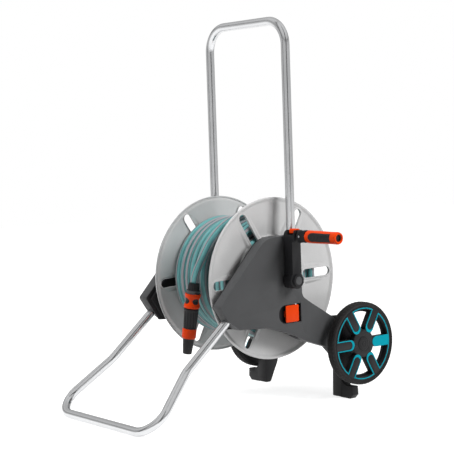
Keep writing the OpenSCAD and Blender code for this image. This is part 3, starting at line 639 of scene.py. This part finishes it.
def add_tubes():
    handle = [Vector((x, LEG_Y, z)) for x, z in (
        (-LEG_X, LEG_BOTTOM), (-LEG_X, CROSSBAR_Z), (LEG_X, CROSSBAR_Z), (LEG_X, LEG_BOTTOM))]
    half = [(x * side, y, bend) for side, corners in ((-1, FOOT_CORNERS), (1, FOOT_CORNERS[::-1]))
            for x, y, bend in corners]
    foot = [Vector((x, FOOT_Y + y * math.cos(FOOT_SLOPE), TUBE_R + y * math.sin(FOOT_SLOPE)))
            for x, y, bend in half]
    for node, corners, bends in (("handle_tube", handle, [0, HANDLE_BEND, HANDLE_BEND, 0]),
                                 ("foot_tube", foot, [bend for x, y, bend in half])):
        tube = sweep(node + "_skin", bent_path(corners, bends), TUBE_R, TUBE_SIDES)
        add_piece(tube, body_of[node], slot_of[node], materials["tube_metal"], [node])


# ---------------------------------------------------------------- reel flanges
SLOT_MIDDLE, SLOT_REACH, SLOT_HALF = 126.5, 30.5, 10.0
# How far each flange's slots are turned from upright, in degrees.
REEL_TURN = {"right": 1.0, "left": 3.5}
# Wall thickness of the flange, and at the edge of a slot.
FLANGE_THICK, LIP_THICK = 2.6, 5.8
# Rings of the flange's outer face from the hub to the rolled rim: radius and distance from the middle.
HUB_RINGS = [(10, 106), (21.5, 106), (23.2, 105.2), (24, 103), (24.6, 98.4), (26.5, 96.6)]
RIM_RINGS = [(168.4, 96.5), (169.6, 96.9), (171, 97.7), (172.4, 98.6), (173.8, 99.4),
             (175.3, 99.85), (176.6, 99.6), (177.6, 98.8), (178, 97.6), (178, 95.6)]
FACE_RADII = [30, 36, 42, 48, 52, 54, 56, 58, 60, 62, 64, 66, 68, 74, 80, 82, 83.4, 84.7, 86, 86.15, 86.6,
              87.4, 88.5, 90, 92, 93.2, 94.2, 95, 95.8, 96.6, 97.6, 99, 101, 104, 108, 113, 119, 126,
              133, 140, 146, 150, 154, 157, 159.6, 162, 163.9, 165.4, 166.4, 166.85, 167]
BESIDE_SLOT = [0, 0.7, 1.4, 2.2, 3, 4, 5.5, 7, 8, 9, 10, 11, 12, 13, 14.5, 17]
REST_STEPS = 6


def slot_gap(along, beside):
    """Distance from a slot's edge of a point along its line and beside it."""
    return math.hypot(max(abs(along - SLOT_MIDDLE) - SLOT_REACH, 0.0), beside) - SLOT_HALF


def slot_side(radius):
    """How far from its middle line a slot's edge crosses the circle of a radius."""
    low, high = SLOT_MIDDLE - SLOT_REACH, SLOT_MIDDLE + SLOT_REACH
    if radius <= low - SLOT_HALF or radius >= high + SLOT_HALF:
        return 0.0
    for end, beyond in ((low, radius < math.hypot(low, SLOT_HALF)),
                        (high, radius > math.hypot(high, SLOT_HALF))):
        if beyond:
            along = (radius ** 2 + end ** 2 - SLOT_HALF ** 2) / (2 * end)
            return math.sqrt(max(radius ** 2 - along ** 2, 0.0))
    return SLOT_HALF


def flange_relief(radius, along, beside):
    """Height of the lip, the ridge and the screw seats less the depth of the sunk panel."""
    gap = slot_gap(along, beside)
    lip = 1.2 * (1 - smoothstep(2.2, 3.9, gap))
    fade = 1 - smoothstep(104, 160, radius)
    panel = smoothstep(SLOT_HALF + 7, SLOT_HALF + 9 + 5 * fade, beside) * smoothstep(94.6, 98.2, radius)
    panel *= 3.7 * fade
    ridge = 0.6 * math.exp(-((radius - 93.6) / 1.1) ** 2)
    seat = 0.6 * (1 - smoothstep(5.5, 7.2, math.hypot(along - 60, beside)))
    return lip + ridge + seat - panel


def flange_column(radius):
    """Angles from a slot's middle line to the middle between two slots, on the circle of a radius."""
    edge = math.asin(slot_side(radius) / radius)
    length = radius * (math.pi / 6 - edge)
    scale = min(1.0, length / 24)
    near = [t * scale for t in BESIDE_SLOT]
    rest = [near[-1] + (length - near[-1]) * i / REST_STEPS for i in range(1, REST_STEPS + 1)]
    return [edge + t / radius for t in near + rest]


def thicken_flange(obj, side_name):
    """Gives the flange its wall, with a deeper lip round each slot."""
    group = obj.vertex_groups.new(name="wall")
    for vertex in obj.data.vertices:
        place = from_row(vertex.co)
        radius = math.hypot(place.y, place.z - REEL_Z)
        angle = math.atan2(place.z - REEL_Z, place.y) - math.radians(REEL_TURN[side_name])
        angle = (angle + math.pi / 6) % (math.pi / 3) - math.pi / 6
        gap = slot_gap(radius * math.cos(angle), abs(radius * math.sin(angle)))
        lip = (1 - smoothstep(1.6, 3.2, gap)) * (LIP_THICK - FLANGE_THICK)
        group.add([vertex.index], (FLANGE_THICK + lip) / LIP_THICK, "REPLACE")
    thick = obj.modifiers.new("wall", "SOLIDIFY")
    thick.thickness = LIP_THICK / 1000
    thick.offset = -1
    thick.vertex_group = group.name


def add_flange(side_name):
    side = SIDES[side_name]
    rings = HUB_RINGS + [(r, 96.4) for r in FACE_RADII] + RIM_RINGS
    vertices, faces = [], []
    for sector in range(6):
        for sign in (1, -1):
            first = len(vertices)
            for radius, base in rings:
                angles = flange_column(radius)
                for angle in angles:
                    along, beside = radius * math.cos(angle), radius * math.sin(angle)
                    height = base
                    if 26 < radius < 170:
                        height += flange_relief(radius, along, beside)
                    turn = math.radians(60 * sector + REEL_TURN[side_name]) + sign * angle
                    vertices.append((side * height, radius * math.cos(turn),
                                     REEL_Z + radius * math.sin(turn)))
            count = len(angles)
            for i in range(len(rings) - 1):
                for j in range(count - 1):
                    a = first + i * count + j
                    quad = [a, a + count, a + count + 1, a + 1]
                    faces.append(quad if sign * side > 0 else quad[::-1])
    mesh = bpy.data.meshes.new("flange_shell_" + side_name)
    mesh.from_pydata([cart(*v) for v in vertices], [], faces)
    bm = bmesh.new()
    bm.from_mesh(mesh)
    bmesh.ops.remove_doubles(bm, verts=bm.verts, dist=2e-6)
    bmesh.ops.dissolve_degenerate(bm, edges=bm.edges, dist=1e-6)
    bm.to_mesh(mesh)
    bm.free()
    obj = bpy.data.objects.new("flange_shell_" + side_name, mesh)
    bpy.context.collection.objects.link(obj)
    thicken_flange(obj, side_name)
    apply_modifiers(obj)
    finish_normals(obj, 40)
    node = "flange_" + side_name
    return add_piece(obj, "reel", slot_of[node], materials["reel_silver"], [node])


# ---------------------------------------------------------------- wheels
WHEEL_IN, WHEEL_OUT = 165.0, 187.0
LUGS = 60


def tread(radius, along, angle):
    """Cross cuts in both shoulders of the tyre."""
    if radius > 91.5 and abs(along - (WHEEL_IN + WHEEL_OUT) / 2) > 5.5:
        cut = max(0.0, math.cos(angle * LUGS)) ** 2
        return radius - 0.9 * cut, along
    return radius, along


def add_tyre(side_name):
    side = SIDES[side_name]
    wall = [(84, 2), (85.6, 1.3), (87.2, 0.7), (87.5, 0.2), (88.6, 0.1), (88.9, 0.5), (90.2, 0.3),
            (91.3, 0.8), (92.1, 1.8), (92.5, 3.2), (92.6, 5.2)]
    crown = []
    for place in (6.6, 9.4):
        crown += [(92.7, place - 0.7), (91.7, place - 0.4), (91.7, place + 0.4), (92.7, place + 0.7)]
    half = [(r, WHEEL_IN + x) for r, x in wall + crown]
    mirrored = [(r, WHEEL_IN + WHEEL_OUT - x) for r, x in half[::-1]]
    node = "tyre_" + side_name
    obj = turned("tread_" + side_name, half + mirrored, (0, WHEEL.y, WHEEL.z), (side, 0, 0), 360, tread)
    add_piece(obj, body_of[node], slot_of[node], materials["tyre_rubber"], [node])


def add_hub_cap(side_name):
    node = "hub_cap_" + side_name
    profile = [(0, 184), (13, 184), (13, 186), (16, 186), (16, 186.5), (15.3, 187.1), (13.8, 187.2),
               (13.4, 186.8), (12.3, 186.8), (11.9, 187.3), (7.2, 187.6), (6.8, 187.1), (4.4, 187.1),
               (4.0, 187.7), (0, 187.7)]
    obj = turned("hub_badge_" + side_name, profile, (0, WHEEL.y, WHEEL.z), (SIDES[side_name], 0, 0), 72)
    add_piece(obj, body_of[node], slot_of[node], materials["dark_plastic"], [node])


# ---------------------------------------------------------------- connector and nozzle
HANG_TOP = (9, -151, 278)
HANG_AXIS = Vector((-0.147608, -0.052336, -0.987662))
COLLAR_WAIST = [(17.3, 24), (17.3, 28.4), (16.9, 29.8), (15.7, 33.4), (14.5, 36.6), (14.1, 39),
                (14.5, 41.4), (15.7, 44.6), (16.9, 48.2), (17.3, 49.6), (17.3, 54.2)]


def ribbed(count, depth, low, high, least):
    """Ribs along a turned piece between two distances, on its skin outside a radius."""
    def shape(radius, along, angle):
        if low <= along <= high and radius > least:
            return radius - depth * (0.5 + 0.5 * math.cos(count * angle)) ** 2, along
        return radius, along
    return shape


def hang(node, profile, shape=None, steps=96):
    obj = turned(node + "_skin", profile, HANG_TOP, HANG_AXIS, steps, shape)
    return add_piece(obj, body_of[node], slot_of[node], materials[slot_of[node]], [node])


def waist_radius(along):
    for (r0, a0), (r1, a1) in zip(COLLAR_WAIST, COLLAR_WAIST[1:]):
        if a0 <= along <= a1:
            return r0 + (r1 - r0) * (along - a0) / (a1 - a0)
    return COLLAR_WAIST[-1][0]


def patch(name, place, rings=7, around=40):
    """A closed pad from place(x, y, lift), where x and y run over the unit disc."""
    vertices = [place(0, 0, 1.0)]
    for i in range(1, rings + 1):
        rho = i / rings
        lift = 1 - rho ** 6
        for k in range(around):
            a = 2 * math.pi * k / around
            vertices.append(place(rho * math.cos(a), rho * math.sin(a), lift))
    faces = [[0, 1 + k, 1 + (k + 1) % around] for k in range(around)]
    for i in range(rings - 1):
        for k in range(around):
            a, b = 1 + i * around + k, 1 + i * around + (k + 1) % around
            faces.append([a, a + around, b + around, b])
    last = 1 + (rings - 1) * around
    under = len(vertices)
    for k in range(around):
        a = 2 * math.pi * k / around
        vertices.append(place(math.cos(a), math.sin(a), -3.0))
    for k in range(around):
        m = (k + 1) % around
        faces.append([last + k, under + k, under + m, last + m])
    vertices.append(place(0, 0, -3.0))
    faces += [[under + 1 + around - 1, under + (k + 1) % around, under + k] for k in range(around)]
    return new_object(name, [tuple(v) for v in vertices], faces)


def add_collar_pads():
    side = (Vector((0, 1, 0)) - HANG_AXIS * HANG_AXIS.y).normalized()
    other = HANG_AXIS.cross(side)
    for k in range(4):
        middle_angle = math.radians(90 * k + 6)

        def place(x, y, lift, middle_angle=middle_angle):
            along = 39 + 6.6 * y
            angle = middle_angle + math.radians(31) * x
            radius = waist_radius(along) + 0.4 * lift
            out = side * math.cos(angle) + other * math.sin(angle)
            return Vector(HANG_TOP) + HANG_AXIS * along + out * radius

        pad = patch("collar_pad_%d" % (k + 1), place)
        add_piece(pad, "collar", "seal_rubber", materials["seal_rubber"])


def add_nozzle():
    hang("connector_nut", [(5, 0.2), (10.4, 0.2), (11.2, 0.7), (11.8, 1.6), (12.1, 2.6), (12.5, 13.4),
                           (12.2, 14.2), (12.4, 14.8), (13.4, 15.3), (13.4, 16), (5, 16)],
         ribbed(20, 0.9, 2, 14, 11), 240)
    hang("connector_body", [(8.2, 16), (14.5, 16), (15, 16.5), (15, 18.4), (14.4, 18.9), (14.4, 20),
                            (15, 20.5), (15, 22.6), (14.6, 23), (10, 23), (10, 56.5), (8.2, 56.5)])
    hang("connector_collar", [(10.08, 29), (15.3, 29), (15.3, 23.5), (16.9, 23.5)] + COLLAR_WAIST
         + [(16.8, 55), (10.08, 55)], None, 120)
    add_collar_pads()
    hang("nozzle_body", [(4, 40), (8.2, 40), (8.2, 57), (15.2, 57), (16, 57.7), (16, 61), (15.6, 62),
                         (15.7, 64), (15.2, 80), (14.5, 96), (14.2, 97), (14.6, 98), (14.4, 101),
                         (9, 101), (9, 124), (4, 124)],
         ribbed(14, 1.3, 63, 96.5, 14.2), 280)
    hang("nozzle_ring", [(9.08, 101.3), (14.3, 101.3), (15.2, 102), (15.6, 103.6), (15.6, 120),
                         (15.2, 121.8), (14, 123), (9.08, 123)], ribbed(36, 0.4, 103, 121, 15.4), 288)
    hang("nozzle_tip", [(9.08, 123), (12.3, 123), (12.7, 123.5), (12.6, 126), (12.2, 127), (12.4, 128),
                        (9.9, 157), (9.3, 158), (7.6, 158), (7.2, 156.6), (3, 156.6), (3, 124.5),
                        (9.08, 124.5)])


# ---------------------------------------------------------------- crank grip
GRIP_FROM, GRIP_TO = 216.3, 310.3
KNUCKLE_Z = from_row(middle("grip_sleeve")).z
INLAY_HALF = 9.3
INLAY_FROM, INLAY_TO = GRIP_FROM + 12 + INLAY_HALF, GRIP_FROM + 78
SLEEVE = [(11.8, 0), (12.8, 0.5), (13.4, 2), (13.5, 4), (13.5, 22), (13.3, 40), (13.0, 60), (12.9, 74),
          (13.1, 84), (13.2, 88), (13.0, 91), (12.3, 93), (11.2, 94)]


def sleeve_radius(along):
    for (r0, a0), (r1, a1) in zip(SLEEVE, SLEEVE[1:]):
        if a0 <= along - GRIP_FROM <= a1:
            return r0 + (r1 - r0) * (along - GRIP_FROM - a0) / (a1 - a0)
    return SLEEVE[-1][0]


def add_grip():
    profile = [(5.05, GRIP_FROM)] + [(r, GRIP_FROM + a) for r, a in SLEEVE]
    profile += [(9.0, GRIP_TO), (8.2, GRIP_TO - 0.6), (7.3, GRIP_TO - 2), (7.2, GRIP_TO - 10.8),
                (5.05, GRIP_TO - 10.8)]
    sleeve = turned("grip_shell", profile, (0, 0, KNUCKLE_Z), (1, 0, 0), 120)
    add_piece(sleeve, "grip", slot_of["grip_sleeve"], materials["accent_orange"], ["grip_sleeve"])
    # A dark plug set shallow in the grip's end hole: painted shade, standing in for the darkness of the deep
    # hole.
    hole_shade_plug = turned("grip_hole_shade_plug", [(0, GRIP_TO - 6), (7.15, GRIP_TO - 6), (7.15, GRIP_TO - 2.4),
                                  (6.3, GRIP_TO - 2), (5.6, GRIP_TO - 2.6), (5.2, GRIP_TO - 4.6),
                                  (0, GRIP_TO - 5)], (0, 0, KNUCKLE_Z), (1, 0, 0), 48)
    add_piece(hole_shade_plug, "grip", "dark_plastic", materials["dark_plastic"])
    vertices, faces = [], []
    for side in (1, -1):
        rows, columns = 100, 22
        for layer in (0, 1):
            first = len(vertices)
            for i in range(rows + 1):
                for j in range(columns + 1):
                    across = INLAY_HALF * (2 * j / columns - 1) * 0.999
                    start = INLAY_FROM - math.sqrt(INLAY_HALF ** 2 - across ** 2)
                    along = start + (INLAY_TO - start) * i / rows
                    edge = min(along - start, INLAY_TO - along, INLAY_HALF - abs(across))
                    crest = 0.5 + 0.5 * math.cos((along - INLAY_TO) * 2 * math.pi / 4.4)
                    swell = 0.15 + (0.45 + 0.5 * crest ** 3) * smoothstep(0.0, 1.2, edge)
                    radius = sleeve_radius(along) + (swell if layer else -1.4)
                    z = across * radius / 13.5
                    vertices.append((along, side * math.sqrt(radius ** 2 - z * z), KNUCKLE_Z + z))
            for i in range(rows):
                for j in range(columns):
                    a = first + i * (columns + 1) + j
                    faces.append([a, a + 1, a + columns + 2, a + columns + 1])
        per = (rows + 1) * (columns + 1)
        low, high = len(vertices) - 2 * per, len(vertices) - per
        ring = list(range(columns + 1))
        ring += [(i + 1) * (columns + 1) + columns for i in range(rows)]
        ring += [rows * (columns + 1) + j for j in range(columns - 1, -1, -1)]
        ring += [i * (columns + 1) for i in range(rows - 1, 0, -1)]
        for k, a in enumerate(ring):
            b = ring[(k + 1) % len(ring)]
            faces.append([low + a, low + b, high + b, high + a])
    inlays = new_object("grip_pads", vertices, faces)
    add_piece(inlays, "grip", slot_of["grip_inlays"], materials["seal_rubber"], ["grip_inlays"])


# ---------------------------------------------------------------- springs
# Each spring's joint, the axis that it lies along, and whether its fixed end is the high or the low one.
SPRINGS = {
    "lock_spring_right": ("lock_button_right_press", (1, 0, 0), "low"),
    "lock_spring_left": ("lock_button_left_press", (1, 0, 0), "high"),
    "latch_spring": ("fold_latch_press", (0, 0, 1), "low"),
}


def add_springs():
    """Copies of the coil springs, each with a mesh of its own, in place of the CAD springs."""
    travel = {j["name"]: j["range_m"][1] for j in frame["record"]["behaviour"]["joints"] if "range_m" in j}
    for node, (joint, axis, fixed_end) in SPRINGS.items():
        obj = bpy.data.objects.new(node + "_wire", nodes[node].data.copy())
        bpy.context.collection.objects.link(obj)
        low, high = (Vector(corner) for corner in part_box(node))
        add_piece(obj, body_of[node], slot_of[node], materials[slot_of[node]], [node])
        tuple(low if fixed_end == "low" else high)
        1 - travel[joint] / (high - low).dot(Vector(axis))
        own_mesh(obj)
        tuple(axis)


# ---------------------------------------------------------------- build
add_camera()
materials = make_materials()
hose, hose_path = add_hose()

for node, obj in nodes.items():
    obj.data.materials.clear()
    obj.data.materials.append(materials[slot_of[node]])

[tuple(cart(*p)) for p in hose_path]

for node, width in {
    "frame_outer_right": 1.6, "frame_outer_left": 1.6, "frame_inner_right": 1.0,
    "frame_inner_left": 1.0, "rear_foot_right": 1.6, "rear_foot_left": 1.6, "crank_arm": 1.5,
    "grip_fork": 1.2, "lock_button_right": 0.8, "lock_button_left": 0.8, "fold_latch": 0.8,
    "water_inlet_elbow": 1.0, "rim_right": 0.7, "rim_left": 0.7,
}.items():
    softened(node, width)

for side_name in SIDES:
    add_flange(side_name)
    add_tyre(side_name)
    add_hub_cap(side_name)
add_nozzle()
add_grip()
add_tubes()
add_springs()

# ---------------------------------------------------------------- studio
scene = bpy.context.scene
scene.view_settings.view_transform = "Standard"
# The direction to the camera and, measured from it, the two darker uprights that shiny pieces reflect.
TO_CAMERA = math.radians(CAMERA_AZIMUTH - 90)
DARK_UPRIGHT, GREY_UPRIGHT = 0.40, -1.25
# The height of the thin grey line round the room, as the upward part of the direction to it.
LINE_HEIGHT = 0.30
# How bright the floor and the room are, and how much of the room's light falls on matt surfaces.
FLOOR_GLOW = 0.84
ROOM_GLOW, ROOM_FILL = 0.72, 0.10


FLOOR_HALF = 6.0


def add_floor():
    mesh = bpy.data.meshes.new("floor")
    mesh.from_pydata([(x * FLOOR_HALF, y * FLOOR_HALF, 0) for x, y in ((-1, -1), (1, -1), (1, 1), (-1, 1))],
                     [], [(0, 1, 2, 3)])
    floor = bpy.data.objects.new("floor", mesh)
    floor.location = (0, 0, -0.0005)
    bpy.context.collection.objects.link(floor)
    g = Graph("floor")
    soft = g.noise(3.0, 2.0)
    g.to("Base Color", g.mix(soft, (0.44, 0.44, 0.44, 1), (0.46, 0.46, 0.46, 1)))
    g.to("Roughness", 0.8)
    g.to("Specular IOR Level", 0.1)
    g.to("Emission Color", (1, 1, 1, 1))
    away = g.add("ShaderNodeVectorMath", operation="LENGTH")
    g.link(g.place, away.inputs[0])
    glow = g.span(away.outputs["Value"], 0.7, 2.2, FLOOR_GLOW, 1.0)
    ray = g.add("ShaderNodeLightPath")
    soft_light = g.math("MULTIPLY", ray.outputs["Is Diffuse Ray"], 0.96)
    g.to("Emission Strength", g.math("MULTIPLY", glow, g.math("SUBTRACT", 1.0, soft_light)))
    mesh.materials.append(g.material)


def add_light(name, at, aim, size, power, colour=(1, 1, 1)):
    data = bpy.data.lights.new(name, "AREA")
    data.shape = "RECTANGLE"
    data.size, data.size_y = size
    data.energy = power
    data.color = colour
    light = bpy.data.objects.new(name, data)
    light.location = at
    light.rotation_euler = (Vector(aim) - Vector(at)).to_track_quat("-Z", "Y").to_euler()
    light.visible_glossy = False
    bpy.context.collection.objects.link(light)


def add_world():
    """A white room with two darker uprights, a slightly grey back and a grey line above eye level."""
    world = bpy.data.worlds.new("studio")
    world.use_nodes = True
    tree = world.node_tree
    tree.nodes.clear()
    link = tree.links.new

    def maths(operation, a, b=0.0):
        node = tree.nodes.new("ShaderNodeMath")
        node.operation = operation
        for i, value in enumerate((a, b)):
            if hasattr(value, "is_output"):
                link(value, node.inputs[i])
            else:
                node.inputs[i].default_value = value
        return node.outputs[0]

    def ramp(value, low, high, to_low, to_high):
        node = tree.nodes.new("ShaderNodeMapRange")
        link(value, node.inputs[0])
        for i, v in enumerate((low, high, to_low, to_high)):
            node.inputs[i + 1].default_value = v
        return node.outputs[0]

    split = tree.nodes.new("ShaderNodeSeparateXYZ")
    link(tree.nodes.new("ShaderNodeTexCoord").outputs["Generated"], split.inputs[0])
    azimuth = maths("ARCTAN2", split.outputs[1], split.outputs[0])
    off = maths("SUBTRACT", azimuth, TO_CAMERA)
    upright = ramp(maths("ABSOLUTE", maths("SUBTRACT", off, DARK_UPRIGHT)), 0.12, 0.26, 0.10, 1.0)
    second = ramp(maths("ABSOLUTE", maths("SUBTRACT", off, GREY_UPRIGHT)), 0.10, 0.20, 0.30, 1.0)
    behind = ramp(maths("COSINE", off), -0.85, -0.55, 0.75, 1.0)
    line = ramp(maths("ABSOLUTE", maths("SUBTRACT", split.outputs[2], LINE_HEIGHT)), 0.03, 0.07, 0.30, 1.0)
    above = ramp(split.outputs[2], 0.2, 0.9, 0.92, 1.25)
    strength = maths("MULTIPLY", maths("MULTIPLY", upright, second), maths("MULTIPLY", behind, line))
    strength = maths("MULTIPLY", strength, above)
    room = tree.nodes.new("ShaderNodeBackground")
    ray = tree.nodes.new("ShaderNodeLightPath")
    fill = maths("MULTIPLY", ray.outputs["Is Diffuse Ray"], ROOM_FILL - ROOM_GLOW)
    link(maths("MULTIPLY", strength, maths("ADD", fill, ROOM_GLOW)), room.inputs[1])
    seen = tree.nodes.new("ShaderNodeBackground")
    mix = tree.nodes.new("ShaderNodeMixShader")
    for node, socket in ((room, 1), (seen, 2)):
        node.inputs[0].default_value = (1, 1, 1, 1)
        link(node.outputs[0], mix.inputs[socket])
    link(ray.outputs["Is Camera Ray"], mix.inputs[0])
    link(mix.outputs[0], tree.nodes.new("ShaderNodeOutputWorld").inputs[0])
    scene.world = world


add_floor()
add_world()
add_light("key", (2.2, 0.9, 1.9), (0, 0, 0.3), (1.1, 1.1), 84)
add_light("top", (-0.7, -1.6, 2.4), (0, 0, 0.3), (1.2, 1.2), 74)
